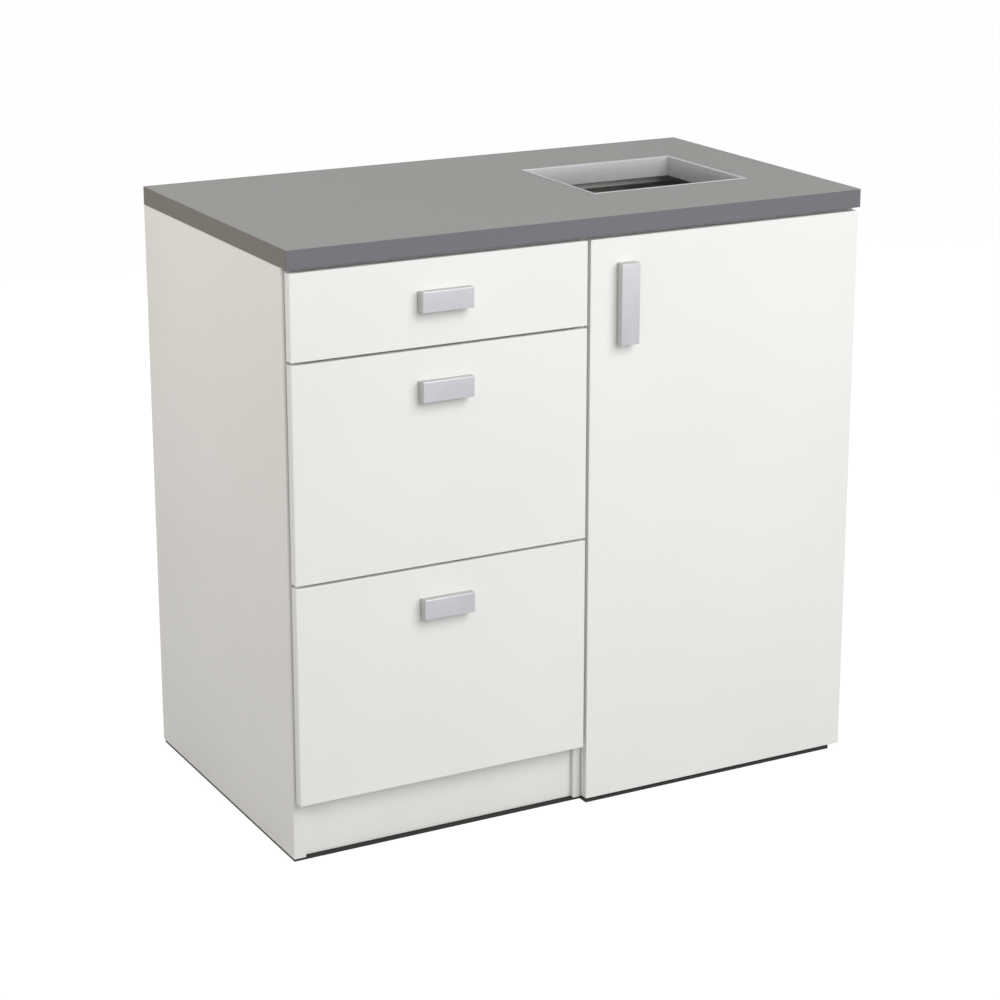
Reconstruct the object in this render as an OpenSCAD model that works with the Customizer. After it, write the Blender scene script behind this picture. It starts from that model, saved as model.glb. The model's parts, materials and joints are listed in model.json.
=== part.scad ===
// Recycling bin cabinet: three drawers on the left, a door with a throw-in above a waste bin on the right.
// Millimetres. X runs to the right, Y to the back and Z up. The origin is on the floor, below the middle.

/* [Cabinet] */
// Width over the side panels
cabinet_w = 940; // [880:10:1040]
// Height from the floor to the top of the worktop
cabinet_h = 900; // [880:5:940]
// Thickness of the side panels, the partition, the bottoms and the top rails
panel_t = 19; // [18:1:22]
// Chamfer along the edges of every board
edge_ease = 0.8; // [0.4:0.2:1.2]
// Thickness of the back panel
back_t = 8; // [6:1:10]
// Distance from the back panel to the rear edges of the side panels
back_inset = 12; // [8:1:16]
// Depth of the grooves that hold the back panel
groove_d = 6; // [4:1:8]
// Width of each top rail, front to back
rail_w = 100; // [90:5:110]

/* [Base] */
// Height of the black strips under the panels
strip_h = 5; // [3:1:10]
// Distance of the strips from the faces of the panels above them
strip_inset = 2; // [1:0.5:4]
// Distance of the strips behind the front edges of the carcass
strip_set = 4; // [2:0.5:6]
// Distance of the strip under the door behind the face of the door
toe_set = 4; // [2:0.5:8]
// Height of the plinth's top edge above the floor
plinth_top = 93; // [80:1:110]
// Thickness of the plinth
plinth_t = 16; // [12:1:19]
// Distance of the plinth behind the front edges
plinth_recess = 8; // [4:1:40]

/* [Worktop] */
// Thickness of the worktop
worktop_t = 28; // [22:1:34]
// Width of the throw-in over the rim of its collar
throw_in_w = 270; // [200:5:320]
// Depth of the throw-in over the rim of its collar
throw_in_d = 225; // [160:5:250]
// Width of the collar's rim, with the wall under it
rim_w = 4; // [3:0.5:8]
// Height of the rim above the worktop
rim_t = 1; // [0.6:0.2:2]
// Thickness of the collar's walls
collar_wall = 1.2; // [0.8:0.2:2]
// Distance that the collar reaches below the worktop
collar_drop = 2; // [0:1:20]

/* [Fronts] */
// Thickness of the drawer fronts and the door
front_t = 16; // [14:1:19]
// Gap between the closed fronts and the carcass
front_clear = 2; // [1.5:0.5:3]
// Gap between the worktop and the fronts
top_gap = 5; // [3:1:8]
// Gap between one drawer front and the next
front_gap = 4; // [3:1:6]
// Gap between the drawers and the door
middle_gap = 5; // [3:1:7]
// Distance from the outer edges of the fronts to the sides of the cabinet
side_reveal = 4; // [2:1:6]
// Height of the top drawer front
top_front_h = 124; // [116:1:140]
// Height of the middle drawer front
middle_front_h = 316; // [310:1:330]
// Gap between the door and the underside of the carcass
door_rise = 3; // [1:1:10]

/* [Handles] */
// Height of the handle profile
handle_h = 30; // [24:1:40]
// Projection of the handles from the fronts
handle_out = 18; // [14:1:24]
// Wall of the handle profile
handle_wall = 2.4; // [1.6:0.2:3]
// Radius of the handle's outer long edges
handle_round = 1.6; // [0.4:0.2:2]
// Distance by which the closed side of the handle leans in next to the front
handle_lean = 2.4; // [1:0.2:4]
// Distance from the front at which the closed side starts to lean in
handle_lean_from = 7; // [4:0.5:9]
// Length of the drawer handles
drawer_handle_l = 80; // [76:1:160]
// Length of the door handle
door_handle_l = 120; // [110:1:200]
// Distance from the edge of a front to the middle of its handle
handle_in = 57; // [40:1:60]
// Distance from the top of the door to the middle of its handle
door_handle_down = 96; // [80:1:200]
// Distance between the screws of a drawer handle
drawer_handle_pitch = 64; // [32:32:64]
// Distance between the screws of the door handle
door_handle_pitch = 96; // [64:32:96]

/* [Drawers] */
// Length of the runners, which is also the travel of the drawers; the cabinet's depth follows it
runner_l = 450; // [400:25:550]
// Distance from the runners and the drawer boxes to the back panel
runner_rear_gap = 39; // [20:1:80]
// Height of the runners
runner_h = 45; // [35:1:46]
// Space that a runner takes between the carcass and the drawer
runner_t = 12.7; // [12.7:0.1:14]
// Sheet thickness of the runners
rail_wall = 1.2; // [1:0.1:1.4]
// Height of the lips along the edges of the rails
rail_lip = 1; // [0.6:0.1:1.2]
// Diameter of the balls in the runners
ball_d = 3.2; // [3:0.1:3.4]
// Number of balls in a cage
cage_balls = 4; // [3:1:6]
// Distance of the runners behind the front edges
runner_set = 3; // [2:1:10]
// Thickness of the drawer sides and backs
box_wall = 12; // [10:1:15]
// Thickness of the drawer bottoms
box_bottom_t = 6; // [4:1:8]
// Height of the drawer sides below the bottom's underside
box_skirt = 10; // [8:1:12]
// Depth of the grooves that hold the drawer bottoms
box_groove = 6; // [4:1:7]
// Height of the top drawer's sides
top_box_h = 78; // [70:1:80]
// Height of the tall drawers' sides
tall_box_h = 190; // [120:1:220]
// Gap between the bottom drawer's sides and the panel below them
box_gap = 6; // [4:1:8]

/* [Bins] */
// Distance of the recycling bins' rims below the top edge of the lower of the tall fronts
bin_below = 5; // [4:1:40]
// Gap round the recycling bins in their drawer
bin_gap = 4; // [2:1:12]
// Width of the waste bin over its rim
waste_w = 370; // [300:5:380]
// Depth of the waste bin over its rim
waste_d = 400; // [300:5:410]
// Distance from the waste bin up to the top rails
waste_gap = 89; // [40:1:300]
// Wall of the bins
bin_wall = 2.4; // [1.6:0.2:3]
// Width of the rim of the bins
bin_rim = 8; // [5:1:12]
// Height of the rim of the bins
bin_rim_h = 14; // [8:1:20]
// Draft of the bins from top to bottom, on each side
bin_draft = 14; // [4:1:24]
// Corner radius of the bins
bin_corner = 26; // [24:1:40]

/* [Hinges] */
// Distance from the door's edge to the edge of the hinge cup
cup_in = 5; // [3:0.5:5.5]
// Diameter of the hinge cups
cup_dia = 35; // [35:1:35.5]
// Depth of the hinge cups
cup_deep = 12.5; // [11.5:0.1:12.6]
// Distance from the ends of the door to the middle of the hinges
hinge_in = 100; // [60:5:140]
// Distance from the front edge to the screws of a hinge plate
plate_back = 37; // [37:1:45]

/* [Hidden] */
$fn = 32;

white = "whitesmoke";
steel = "silver";

// Clearances: glued or pressed parts, loose fits in grooves, running parts, and balls between their races
snug = 0.05;
loose = 0.2;
running = 0.4;
ball_play = 0.1;
// A cut passes a face by this much
past = 1;

// Places are measured in a cabinet frame: X from the middle, Y from the front edges, Z from the floor
front_face_y = -front_clear - front_t;
carcass_d = runner_set + runner_l + runner_rear_gap + back_t + back_inset;
front_edge_y = (handle_out - front_face_y - carcass_d) / 2;
inner_x = cabinet_w / 2 - panel_t;
partition_x = panel_t / 2;
bay_w = inner_x - partition_x;
bay_x = (inner_x + partition_x) / 2;
worktop_z = cabinet_h - worktop_t;
rail_z = worktop_z - panel_t;
back_y = carcass_d - back_inset - back_t;

// Fronts, counted from the top drawer
front_top_z = worktop_z - top_gap;
front_x0 = -cabinet_w / 2 + side_reveal;
front_x1 = -middle_gap / 2;
front_x = (front_x0 + front_x1) / 2;
bottom_front_h = front_top_z - top_front_h - middle_front_h - 2 * front_gap - plinth_top;
front_hs = [top_front_h, middle_front_h, bottom_front_h];
front_tops = [front_top_z, front_top_z - top_front_h - front_gap, plinth_top + bottom_front_h];
front_bottoms = [for (n = [0:2]) front_tops[n] - front_hs[n]];
door_x0 = middle_gap / 2;
door_x1 = cabinet_w / 2 - side_reveal;
door_z0 = strip_h + door_rise;

// Drawer boxes
box_w = bay_w - 2 * runner_t;
box_inner = box_w / 2 - box_wall;
box_y1 = runner_set + runner_l;
box_hs = [top_box_h, tall_box_h, tall_box_h];
box_z0s = [for (n = [0:2]) front_bottoms[n] + panel_t + box_gap];
box_floors = [for (n = [0:2]) box_z0s[n] + box_skirt + box_bottom_t];
runner_zs = [for (n = [0:2]) box_z0s[n] + top_box_h / 2];
recycling_w = 2 * box_inner - 2 * bin_gap;
recycling_d = (box_y1 - box_wall + front_clear - 3 * bin_gap) / 2;
box_floor_rise = panel_t + box_gap + box_skirt + box_bottom_t;
recycling_h = min(middle_front_h, bottom_front_h) - box_floor_rise - bin_below;
waste_h = rail_z - strip_h - panel_t - waste_gap;

// Throw-in
throw_in_y = (front_face_y + carcass_d) / 2;
hole_w = throw_in_w - 2 * rim_w + 2 * collar_wall;
hole_d = throw_in_d - 2 * rim_w + 2 * collar_wall;

// Hinges: the door turns about one upright axis near its outer front edge
hinge_zs = [door_z0 + hinge_in, front_top_z - hinge_in];
cup_x = door_x1 - cup_in - cup_dia / 2;
cup_wall = 1.5;
cup_flange_t = 1;
cup_flange_w = 12;
cup_screw_z = 24;
plate_t = 3;
plate_w = 20;
plate_screw_z = 16;
arm_h = 14;
arm_w = 6.5;
arm_slot = 10;
arm_back = 56;
link_in = 6;
link_r = 3;
link_pin_r = 1.5;
link_w = 3;
link_knee = [-14, 2];
link_tip = [-14.5, -7];
link_x = inner_x - link_in;

// Fasteners
dowel_r = 4;
dowel_l = 28;
dowel_deep = 9;
dowel_out = dowel_l - dowel_deep;
dowel_in = 25;
cam_in = 62;
cam_r = 7.5;
cam_h = 13.5;
cam_from_end = 24;
cam_bolt_r = 3;
screw_r = 2;
screw_head_r = 4;
screw_head_t = 2.2;
worktop_screw_deep = 16;
back_screw_deep = 20;
buffer_r = 3;
buffer_in = 20;

// Joints between a level board and an upright panel:
// plane of the panel's face, side on which the board lies, board's underside, dowels and cams along Y
bottom_ys = [[dowel_in, back_y - dowel_in], [cam_in, back_y - cam_in]];
front_rail_ys = [[dowel_in], [cam_in]];
rear_rail_ys = [[back_y - dowel_in], [back_y - cam_in]];
function same(a, b) = abs(a - b) < snug;
function board_joints(x0, x1, z0, ys) = [[x0, 1, z0, ys[0], ys[1]], [x1, -1, z0, ys[0], ys[1]]];
JOINTS = concat(
    board_joints(-inner_x, -partition_x, plinth_top, bottom_ys),
    board_joints(partition_x, inner_x, strip_h, bottom_ys),
    board_joints(-inner_x, -partition_x, rail_z, front_rail_ys),
    board_joints(partition_x, inner_x, rail_z, front_rail_ys),
    board_joints(-inner_x, -partition_x, rail_z, rear_rail_ys),
    board_joints(partition_x, inner_x, rail_z, rear_rail_ys)
);
plinth_dowel_zs = [strip_h + dowel_in, plinth_top - dowel_in];
plinth_dowel_y = plinth_recess + plinth_t / 2;
worktop_screw_xs = [-bay_x - bay_w / 4, -bay_x + bay_w / 4, bay_x - bay_w / 4, bay_x + bay_w / 4];
worktop_screw_ys = [rail_w / 2, back_y - rail_w / 2];
// Screws through the back panel: X and Z of each
back_screws = concat(
    [for (x = worktop_screw_xs) [x, rail_z + panel_t / 2]],
    [for (i = [0:1]) [worktop_screw_xs[i], plinth_top + panel_t / 2]],
    [for (i = [2:3]) [worktop_screw_xs[i], strip_h + panel_t / 2]],
    [for (k = [1:3]) [0, strip_h + k * (rail_z - strip_h) / 4]]
);
runner_screw_in = 34;
runner_screw_ys = [for (k = [0:2]) runner_set + runner_screw_in + k * (runner_l / 2 - runner_screw_in)];
runner_screw_r = 1.8;
runner_head_r = 3.4;
runner_head_t = 1.2;
wall_screw_deep = 12;
box_screw_deep = box_wall - 3;
// Faces that carry runners: X of each, and the side on which the rail lies
wall_faces = [[-inner_x, 1], [-partition_x, -1]];
box_faces = [[-bay_x - box_w / 2, -1], [-bay_x + box_w / 2, 1]];
cage_w = 4.4;
cage_t = 0.8;
cage_pitch = 24;
// Fronts rest on these: X and Z of each
buffer_spots = concat(
    [for (n = [0:2], x = [-inner_x - 2 * buffer_r, -partition_x + buffer_r + 0.5])
        [x, front_tops[n] - buffer_in]],
    [for (z = [door_z0 + buffer_in, front_top_z - buffer_in]) [partition_x - buffer_r - 0.5, z]]
);

// Moves from the cabinet frame to the part's own frame
module cabinet_frame() {
    translate([0, front_edge_y, 0]) children();
}

// A rectangle from the origin with chamfered corners
module eased_rect(a, b) {
    e = edge_ease;
    polygon([[e, 0], [a - e, 0], [a, e], [a, b - e], [a - e, b], [e, b], [0, b - e], [0, e]]);
}

// A board between two corners with all its edges eased
module board(lo, hi) {
    s = hi - lo;
    translate(lo) intersection() {
        linear_extrude(s.z) eased_rect(s.x, s.y);
        translate([0, s.y, 0]) rotate([90, 0, 0]) linear_extrude(s.y) eased_rect(s.x, s.z);
        rotate([90, 0, 90]) linear_extrude(s.x) eased_rect(s.y, s.z);
    }
}

// A round bar from a point along an axis; its length may be negative
module bar_x(p, l, r) {
    translate([p.x + min(l, 0), p.y, p.z]) rotate([0, 90, 0]) cylinder(h = abs(l), r = r);
}
module bar_y(p, l, r) {
    translate([p.x, p.y + max(l, 0) , p.z]) rotate([90, 0, 0]) cylinder(h = abs(l), r = r);
}
module bar_z(p, l, r) {
    translate([p.x, p.y, p.z + min(l, 0)]) cylinder(h = abs(l), r = r);
}

// Bores in the face of an upright panel at x, for the boards on the given side of it
module panel_bores(x, side) {
    for (j = JOINTS) if (same(j[0], x) && j[1] == side) {
        z = j[2] + panel_t / 2;
        deep = dowel_deep + past + loose;
        for (y = j[3]) bar_x([x + side * past, y, z], -side * deep, dowel_r + snug);
        for (y = j[4]) bar_x([x + side * past, y, z], -side * deep, cam_bolt_r + snug);
    }
}

// Bores in a level board: dowels and cam bolts in both ends, cams from below
module board_bores(x0, x1, z0) {
    for (j = JOINTS) if (same(j[2], z0) && same(j[0], j[1] > 0 ? x0 : x1)) {
        x = j[0];
        side = j[1];
        z = z0 + panel_t / 2;
        for (y = j[3]) bar_x([x - side * past, y, z], side * (dowel_out + past + loose), dowel_r + snug);
        for (y = j[4]) {
            bar_x([x - side * past, y, z], side * (cam_from_end + past), cam_bolt_r + snug);
            bar_z([x + side * cam_from_end, y, z0 - past], cam_h + past + loose, cam_r + snug);
        }
    }
}

// Carcass

module side_panel() {
    difference() {
        board([-cabinet_w / 2, 0, strip_h], [-inner_x, carcass_d, worktop_z]);
        translate([-inner_x - groove_d, back_y - loose, strip_h - past])
            cube([groove_d + past, back_t + 2 * loose, worktop_z - strip_h + 2 * past]);
        panel_bores(-inner_x, 1);
    }
}

module side_panel_left() {
    color(white) cabinet_frame() difference() {
        side_panel();
        plinth_bores(-inner_x, 1);
        wall_runner_bores();
    }
}

module side_panel_right() {
    color(white) cabinet_frame() difference() {
        board([inner_x, 0, strip_h], [cabinet_w / 2, carcass_d, worktop_z]);
        translate([inner_x - past, back_y - loose, strip_h - past])
            cube([groove_d + past, back_t + 2 * loose, worktop_z - strip_h + 2 * past]);
        panel_bores(inner_x, -1);
        plate_screws(screw_r + snug);
    }
}

module partition() {
    color(white) cabinet_frame() difference() {
        board([-partition_x, 0, strip_h], [partition_x, back_y, worktop_z]);
        panel_bores(-partition_x, -1);
        panel_bores(partition_x, 1);
        plinth_bores(-partition_x, -1);
        wall_runner_bores();
        back_screw_shanks(screw_r + snug);
    }
}

// A bottom or rail between the faces x0 and x1
module level_board(x0, x1, y0, y1, z0) {
    difference() {
        board([x0, y0, z0], [x1, y1, z0 + panel_t]);
        board_bores(x0, x1, z0);
        back_screw_shanks(screw_r + snug);
    }
}

module drawer_bay_bottom() {
    color(white) cabinet_frame() level_board(-inner_x, -partition_x, 0, back_y, plinth_top);
}

module bin_bay_bottom() {
    color(white) cabinet_frame() level_board(partition_x, inner_x, 0, back_y, strip_h);
}

module top_rails(y0) {
    difference() {
        for (x0 = [-inner_x, partition_x]) level_board(x0, x0 + bay_w, y0, y0 + rail_w, rail_z);
        worktop_screw_shanks(screw_r + snug);
    }
}

module top_rails_front() {
    color(white) cabinet_frame() top_rails(0);
}

module top_rails_rear() {
    color(white) cabinet_frame() top_rails(back_y - rail_w);
}

module back_panel() {
    reach = inner_x + groove_d - loose;
    color(white) cabinet_frame() difference() {
        board([-reach, back_y, strip_h], [reach, back_y + back_t, worktop_z]);
        back_screw_shanks(screw_r + snug);
    }
}

module plinth_bores(x, side) {
    for (z = plinth_dowel_zs)
        bar_x([x + side * past, plinth_dowel_y, z], -side * (dowel_deep + past + loose), dowel_r + snug);
}

module plinth() {
    color(white) cabinet_frame() difference() {
        board([-inner_x, plinth_recess, strip_h], [-partition_x, plinth_recess + plinth_t, plinth_top]);
        for (z = plinth_dowel_zs) {
            bar_x([-inner_x - past, plinth_dowel_y, z], dowel_out + past + loose, dowel_r + snug);
            bar_x([-partition_x + past, plinth_dowel_y, z], -(dowel_out + past + loose), dowel_r + snug);
        }
    }
}

// Strips under the three upright panels, the plinth and the front of the bin bay, where the strip reaches
// forward under the door
module base_strips() {
    i = strip_inset;
    toe_y = front_face_y + toe_set;
    color("dimgray") cabinet_frame() {
        for (p = [[-cabinet_w / 2, carcass_d], [-partition_x, back_y], [inner_x, carcass_d]])
            translate([p[0] + i, strip_set, 0]) cube([panel_t - 2 * i, p[1] - i - strip_set, strip_h]);
        translate([-inner_x - i + running, strip_set, 0])
            cube([bay_w + 2 * i - 2 * running, plinth_recess + plinth_t - i - strip_set, strip_h]);
        translate([door_x0 + i, toe_y, 0])
            cube([inner_x - door_x0 - 2 * i, strip_set - running - toe_y, strip_h]);
        translate([partition_x - i + running, toe_y, 0])
            cube([bay_w - running, panel_t - i - toe_y, strip_h]);
    }
}

module worktop() {
    w = hole_w + 2 * loose;
    d = hole_d + 2 * loose;
    color("darkgray") cabinet_frame() difference() {
        board([-cabinet_w / 2, front_face_y, worktop_z], [cabinet_w / 2, carcass_d, cabinet_h]);
        translate([bay_x - w / 2, throw_in_y - d / 2, worktop_z - past]) cube([w, d, worktop_t + 2 * past]);
        worktop_screw_shanks(screw_r + snug);
    }
}

// A sheet collar: a tube through the worktop under a flat rim
module throw_in_collar() {
    z0 = worktop_z - collar_drop;
    open_w = throw_in_w - 2 * rim_w;
    open_d = throw_in_d - 2 * rim_w;
    color(steel) cabinet_frame() translate([bay_x, throw_in_y, 0]) difference() {
        union() {
            translate([-hole_w / 2, -hole_d / 2, z0]) cube([hole_w, hole_d, cabinet_h - z0]);
            translate([-throw_in_w / 2, -throw_in_d / 2, cabinet_h]) cube([throw_in_w, throw_in_d, rim_t]);
        }
        translate([-open_w / 2, -open_d / 2, z0 - past])
            cube([open_w, open_d, cabinet_h + rim_t - z0 + 2 * past]);
    }
}

// Fasteners of the carcass

module dowels() {
    color("burlywood") cabinet_frame() {
        for (j = JOINTS, y = j[3])
            bar_x([j[0] - j[1] * dowel_deep, y, j[2] + panel_t / 2], j[1] * dowel_l, dowel_r);
        for (z = plinth_dowel_zs) {
            bar_x([-inner_x - dowel_deep, plinth_dowel_y, z], dowel_l, dowel_r);
            bar_x([-partition_x + dowel_deep, plinth_dowel_y, z], -dowel_l, dowel_r);
        }
    }
}

// Each cam sits in a board from below and holds a bolt that is screwed into the panel
module cam_fittings() {
    slot = 1.6;
    color(steel) cabinet_frame() for (j = JOINTS, y = j[4]) {
        z = j[2] + panel_t / 2;
        difference() {
            union() {
                bar_z([j[0] + j[1] * cam_from_end, y, j[2]], cam_h, cam_r);
                bar_x([j[0] - j[1] * dowel_deep, y, z], j[1] * (dowel_deep + cam_from_end), cam_bolt_r);
            }
            translate([j[0] + j[1] * cam_from_end - cam_r / 2, y - slot / 2, j[2] - past])
                cube([cam_r, slot, past + slot]);
        }
    }
}

module worktop_screw_shanks(r) {
    for (x = worktop_screw_xs, y = worktop_screw_ys)
        bar_z([x, y, rail_z], panel_t + worktop_screw_deep, r);
}

module back_screw_shanks(r) {
    for (s = back_screws) bar_y([s.x, back_y + back_t, s.y], -(back_t + back_screw_deep), r);
}

module carcass_screws() {
    color(steel) cabinet_frame() {
        worktop_screw_shanks(screw_r);
        for (x = worktop_screw_xs, y = worktop_screw_ys) bar_z([x, y, rail_z], -screw_head_t, screw_head_r);
        back_screw_shanks(screw_r);
        for (s = back_screws) bar_y([s.x, back_y + back_t, s.y], screw_head_t, screw_head_r);
        for (n = [0:2]) runner_screws(n, wall_faces, wall_screw_deep);
    }
}

// Screws that hold a drawer's rails against the given faces, and reach the given depth into the boards
module runner_screws(n, faces, deep) {
    for (f = faces, y = runner_screw_ys) {
        head = [f[0] + f[1] * rail_wall, y, runner_zs[n]];
        bar_x(head, -f[1] * (rail_wall + deep), runner_screw_r);
        bar_x(head, f[1] * runner_head_t, runner_head_r);
    }
}

// Bores for these screws, through the rails and into the boards
module runner_screw_bores(n, faces, deep) {
    for (f = faces, y = runner_screw_ys)
        bar_x([f[0] + f[1] * (rail_wall + past), y, runner_zs[n]], -f[1] * (rail_wall + past + deep + loose),
              runner_screw_r + snug);
}

module wall_runner_bores() {
    for (n = [0:2]) runner_screw_bores(n, wall_faces, wall_screw_deep);
}

module buffers() {
    color("lightgray") cabinet_frame()
        for (s = buffer_spots) bar_y([s.x, 0, s.y], -(front_clear - running), buffer_r);
}

// Runners: each drawer has a pair, of three rails that run in one another on caged balls

race = ball_d + 2 * ball_play;
rail_bend = 1.5 * rail_wall;
cabinet_rail = [0, runner_t - rail_wall - running, runner_h];
middle_rail = [rail_wall + runner_head_t + running, cabinet_rail[1], runner_h - 2 * (rail_wall + race)];
drawer_rail = [middle_rail[0] + rail_wall + running, runner_t, middle_rail[2] - 2 * (rail_wall + race)];
ball_x = (middle_rail[0] + middle_rail[1]) / 2;
outer_race_z = (cabinet_rail[2] + middle_rail[2]) / 4 - rail_wall / 2;
inner_race_z = (middle_rail[2] + drawer_rail[2]) / 4 - rail_wall / 2;

// Section of a rolled rail, as a list of two X and a height: the web is at the first X, and the flanges end in
// lips turned inwards at the second
module rail_section(rail) {
    w = rail[1] - rail[0];
    h = rail[2];
    t = rail_wall;
    translate([rail[0] + w / 2, 0]) difference() {
        round_rect(w, h, rail_bend);
        round_rect(w - 2 * t, h - 2 * t, rail_bend - t);
        translate([0, -h / 2 + t + rail_lip]) square([w, h - 2 * (t + rail_lip)]);
    }
}

// Places a rail, drawn upright from its rear end, on the left wall of the drawer bay and mirrored on the right
module rail_pair(n) {
    for (side = [1, -1])
        translate([-bay_x - side * bay_w / 2, runner_set + runner_l, runner_zs[n]])
            facing(side) rotate([90, 0, 0]) children();
}
module facing(side) {
    if (side > 0) children();
    else mirror([1, 0, 0]) children();
}

module cabinet_rails(n) {
    color(steel) cabinet_frame() difference() {
        rail_pair(n) linear_extrude(runner_l) rail_section(cabinet_rail);
        runner_screw_bores(n, wall_faces, wall_screw_deep);
    }
}

// The middle rails with their ball cages: the outer ones at the rear, the inner ones in front
module middle_rails(n) {
    color(steel) cabinet_frame() rail_pair(n) {
        linear_extrude(runner_l) rail_section(middle_rail);
        for (s = [-1, 1]) {
            ball_cage(s * outer_race_z, runner_l / 4);
            ball_cage(s * inner_race_z, 3 * runner_l / 4);
        }
    }
}

// The drawer's rails open towards the walls
module drawer_rails(n) {
    color(steel) cabinet_frame() difference() {
        rail_pair(n) linear_extrude(runner_l) translate([drawer_rail[0] + drawer_rail[1], 0]) mirror([1, 0])
            rail_section(drawer_rail);
        runner_screw_bores(n, box_faces, box_screw_deep);
    }
}

// A strip with a row of balls, at a height above the rail's middle and a distance from its rear end
module ball_cage(z, from_rear) {
    l = cage_balls * cage_pitch;
    translate([ball_x, z, from_rear - l / 2]) {
        translate([-cage_w / 2, -cage_t / 2, 0]) cube([cage_w, cage_t, l]);
        for (k = [0:cage_balls - 1]) translate([0, 0, (k + 0.5) * cage_pitch]) sphere(ball_d / 2, $fn = 16);
    }
}

// Handles: a shell that is open on one long side, drawn as projection from the front and height above that side

module handle_outline() {
    r = handle_round;
    polygon([[0, 0], [handle_out - r, 0], [handle_out - r, handle_h], [handle_lean_from, handle_h],
             [0, handle_h - handle_lean]]);
    translate([0, r]) square([handle_out, handle_h - 2 * r]);
    for (z = [r, handle_h - r]) translate([handle_out - r, z]) circle(r);
}

module handle_hollow() {
    t = handle_wall;
    polygon([[t, -past], [handle_out - t, -past], [handle_out - t, handle_h - t], [handle_lean_from, handle_h - t],
             [t, handle_h - t - handle_lean]]);
}

// Extrudes a section over a length along X, with its middle at the origin and its back on the plane Y = 0
module along_handle(l) {
    translate([-l / 2, 0, -handle_h / 2]) rotate([90, 0, 90]) mirror([1, 0]) linear_extrude(l) children();
}

module handle(l, pitch) {
    difference() {
        along_handle(l) handle_outline();
        along_handle(l - 2 * handle_wall) handle_hollow();
        for (x = [-pitch / 2, pitch / 2]) bar_y([x, past, 0], -(handle_wall + 2 * past), screw_r + snug);
    }
}

// Shanks and heads of a handle's screws, from the rear of the front
module handle_screws(pitch) {
    for (x = [-pitch / 2, pitch / 2]) {
        bar_y([x, front_t, 0], -(front_t + handle_wall), screw_r);
        bar_y([x, front_t, 0], screw_head_t, screw_head_r);
    }
}
module handle_screw_bores(pitch) {
    for (x = [-pitch / 2, pitch / 2]) bar_y([x, front_t + past, 0], -(front_t + 2 * past), screw_r + snug);
}

// Places a drawer's handle on its front
module drawer_handle_place(n) {
    translate([front_x, front_face_y, front_tops[n] - handle_in]) children();
}
// Places the door's handle, turned so that its closed side faces the middle of the cabinet
module door_handle_place() {
    translate([door_x0 + handle_in, front_face_y, front_top_z - door_handle_down])
        rotate([0, -90, 0]) children();
}

// Drawers: 0 is the top one, 1 the middle one and 2 the bottom one

module drawer_front(n) {
    color(white) cabinet_frame() difference() {
        board([front_x0, front_face_y, front_bottoms[n]], [front_x1, -front_clear, front_tops[n]]);
        drawer_handle_place(n) handle_screw_bores(drawer_handle_pitch);
    }
}

module drawer_handle(n) {
    color(steel) cabinet_frame() drawer_handle_place(n) handle(drawer_handle_l, drawer_handle_pitch);
}

module drawer_screws(n) {
    color(steel) cabinet_frame() {
        drawer_handle_place(n) handle_screws(drawer_handle_pitch);
        runner_screws(n, box_faces, box_screw_deep);
    }
}

// A drawer side with the groove for the bottom on its inner face
module drawer_side(n, side) {
    z0 = box_z0s[n];
    x = -bay_x + side * (box_w / 2 - box_wall / 2);
    color("gainsboro") cabinet_frame() difference() {
        board([x - box_wall / 2, -front_clear, z0], [x + box_wall / 2, box_y1, z0 + box_hs[n]]);
        translate([-bay_x - box_inner - box_groove, -front_clear - past, z0 + box_skirt - loose])
            cube([2 * (box_inner + box_groove), box_y1 + front_clear + 2 * past, box_bottom_t + 2 * loose]);
        runner_screw_bores(n, box_faces, box_screw_deep);
    }
}

module drawer_back(n) {
    color("gainsboro") cabinet_frame()
        board([-bay_x - box_inner, box_y1 - box_wall, box_floors[n]],
              [-bay_x + box_inner, box_y1, box_z0s[n] + box_hs[n]]);
}

module drawer_bottom(n) {
    reach = box_inner + box_groove - loose;
    color("gainsboro") cabinet_frame()
        translate([-bay_x - reach, -front_clear, box_floors[n] - box_bottom_t])
            cube([2 * reach, box_y1 + front_clear, box_bottom_t]);
}

// Bins

// A rectangle with round corners, about the origin
module round_rect(w, d, r) {
    square([w - 2 * r, d], center = true);
    square([w, d - 2 * r], center = true);
    for (x = [-1, 1], y = [-1, 1]) translate([x * (w / 2 - r), y * (d / 2 - r)]) circle(r, $fn = 24);
}

// A block that widens from the bottom to the top
module drafted_block(w, d, h, draft, r) {
    skin = 0.1;
    hull() {
        linear_extrude(skin) round_rect(w - 2 * draft, d - 2 * draft, r - draft / 2);
        translate([0, 0, h - skin]) linear_extrude(skin) round_rect(w, d, r);
    }
}

// An open bin with a rim, standing on Z = 0
module bin(w, d, h) {
    body_w = w - 2 * bin_rim;
    body_d = d - 2 * bin_rim;
    r = bin_corner - bin_rim;
    difference() {
        union() {
            drafted_block(body_w, body_d, h, bin_draft, r);
            translate([0, 0, h - bin_rim_h]) linear_extrude(bin_rim_h) round_rect(w, d, bin_corner);
        }
        translate([0, 0, bin_wall])
            drafted_block(body_w - 2 * bin_wall, body_d - 2 * bin_wall, h - bin_wall + past, bin_draft,
                          r - bin_wall);
        rim_groove(w, d, h);
    }
}

// The rim is a lip turned down: this is the hollow under it
module rim_groove(w, d, h) {
    inner_w = w - 2 * bin_rim;
    inner_d = d - 2 * bin_rim;
    translate([0, 0, h - bin_rim_h - past]) linear_extrude(bin_rim_h - bin_wall + past) difference() {
        round_rect(w - 2 * bin_wall, d - 2 * bin_wall, bin_corner - bin_wall);
        round_rect(inner_w, inner_d, bin_corner - bin_rim);
    }
}

module waste_bin() {
    color("slategray") cabinet_frame() translate([bay_x, throw_in_y, strip_h + panel_t])
        bin(waste_w, waste_d, waste_h);
}

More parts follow.
